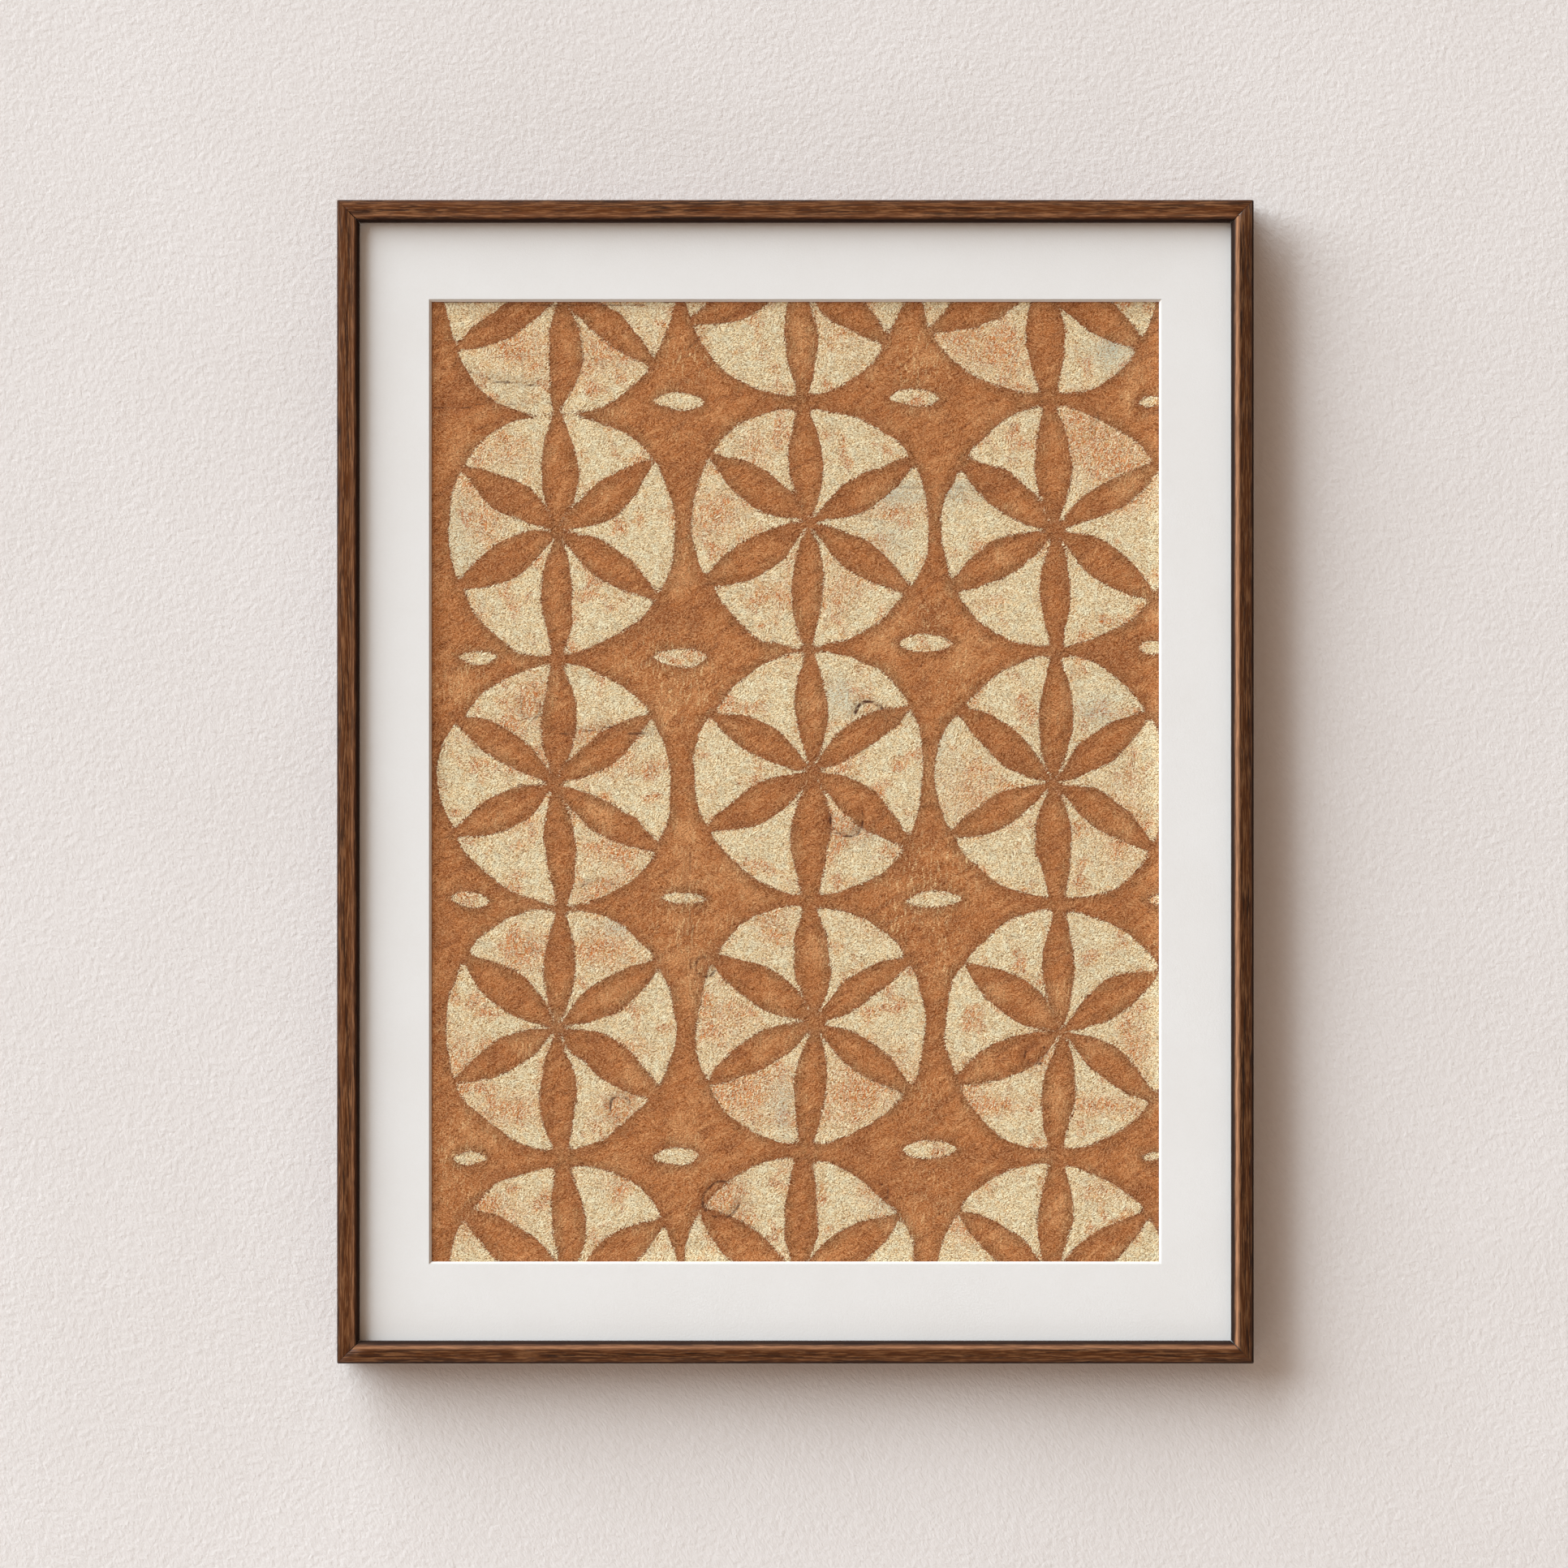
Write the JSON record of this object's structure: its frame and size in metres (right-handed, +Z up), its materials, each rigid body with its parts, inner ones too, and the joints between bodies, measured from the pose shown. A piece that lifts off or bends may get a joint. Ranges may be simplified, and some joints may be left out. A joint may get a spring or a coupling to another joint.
{
  "type": "tapa bark cloth in a picture frame",
  "caption": "Painted tapa bark cloth mounted flat behind a bevelled window mat in a slim mitred wooden frame with a closed back, hung upright on a wall.",
  "frame": {"origin": "middle of the top rail's back face, where a wall holds the frame", "axes": "+X to the right seen from the front, +Y into the wall, +Z up; the cloth faces -Y"},
  "size_m": [0.574, 0.025, 0.7286],
  "materials": {
    "rail_wood": "satin",
    "mat_paper": "matte",
    "painted_bark": "matte",
    "backing": "matte"
  },
  "bodies": {
    "root": {"rail_top": "rail_wood", "rail_right": "rail_wood", "rail_bottom": "rail_wood", "rail_left": "rail_wood", "mat_board": "mat_paper", "bark_cloth": "painted_bark", "backing_board": "backing"}
  },
  "joints": []
}
